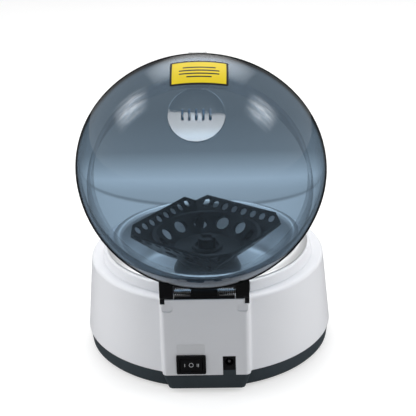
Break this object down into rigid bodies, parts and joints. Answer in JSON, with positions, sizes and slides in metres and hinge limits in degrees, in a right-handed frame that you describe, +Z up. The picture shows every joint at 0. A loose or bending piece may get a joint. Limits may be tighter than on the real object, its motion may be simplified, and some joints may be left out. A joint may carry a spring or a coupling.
{
  "type": "mini centrifuge",
  "caption": "Benchtop mini centrifuge with a clear domed lid standing open on a sprung rear hinge, a funnel-shaped tube rotor in a metal bowl, a rocker switch and a power inlet.",
  "frame": {"origin": "on the spindle axis, in the plane that the feet rest on", "axes": "+Z up along the spindle, -Y toward the latch at the front, +Y toward the hinge and the rear panel"},
  "size_m": [0.184, 0.2457, 0.251],
  "materials": {
    "white_plastic": "fine gloss moulding",
    "dark_plastic": "fine matt moulding",
    "clear_plastic": "clear smoke tint",
    "label_yellow": "printed label",
    "spun_metal": "satin spun sheet",
    "rubber": "matt rubber",
    "steel": "plain machined steel",
    "rotor_plastic": "moulded nylon",
    "copper_wound": "varnished windings",
    "brass": "plain",
    "board_green": "laminate",
    "plate_silver": "printed foil",
    "magnet": "plated"
  },
  "bodies": {
    "base": {"upper_housing": "white_plastic", "base_tray": "dark_plastic", "feet": "rubber", "base_screws": "steel", "chamber_bowl": "spun_metal", "shaft_seal": "rubber", "motor_can": "steel", "motor_bearings": "steel", "motor_plate": "steel", "motor_bushings": "rubber", "plate_screws": "steel", "motor_screws": "steel", "hinge_block": "dark_plastic", "hinge_block_screws": "steel", "hinge_cover": "dark_plastic", "hinge_spring_left": "steel", "hinge_spring_right": "steel", "latch_spring": "steel", "latch_body": "dark_plastic", "latch_screws": "steel", "lid_sensor": "dark_plastic", "rocker_frame": "dark_plastic", "switch_terminals": "brass", "inlet_body": "dark_plastic", "inlet_pin": "brass", "inlet_lugs": "brass", "rating_plate": "plate_silver", "circuit_board": "board_green", "board_capacitors": "dark_plastic", "board_connectors": "white_plastic", "control_chip": "dark_plastic", "board_screws": "steel"},
    "lid": {"lid_dome": "clear_plastic", "lid_label": "label_yellow", "hinge_arm_left": "dark_plastic", "hinge_arm_right": "dark_plastic", "hinge_shaft": "steel", "lid_striker": "clear_plastic", "lid_magnet": "magnet"},
    "spindle": {"motor_shaft": "steel", "motor_armature": "copper_wound", "drive_adaptor": "steel"},
    "rotor": {"rotor": "rotor_plastic"},
    "rocker": {"rocker_button": "dark_plastic"},
    "latch": {"latch_slider": "dark_plastic"}
  },
  "joints": [
    {"name": "lid_hinge", "type": "hinge", "parent": "base", "child": "lid", "pos_m": [0, 0.08735, 0.07845], "axis": [1, 0, 0], "range_deg": [0, 92]},
    {"name": "spindle_spin", "type": "hinge", "parent": "base", "child": "spindle", "pos_m": [0, 0, 0.05], "axis": [0, 0, 1], "continuous": true},
    {"name": "rotor_lift", "type": "slide", "parent": "spindle", "child": "rotor", "axis": [0, 0, 1], "range_m": [0, 0.02]},
    {"name": "rocker_tilt", "type": "hinge", "parent": "base", "child": "rocker", "pos_m": [0.01075, 0.0926, 0.0234], "axis": [0, 0, 1], "range_deg": [-12, 12]},
    {"name": "latch_press", "type": "slide", "parent": "base", "child": "latch", "axis": [0, 1, 0], "range_m": [0, 0.0024], "stiffness_N_per_m": 400, "deforming": ["latch_spring"]}
  ]
}
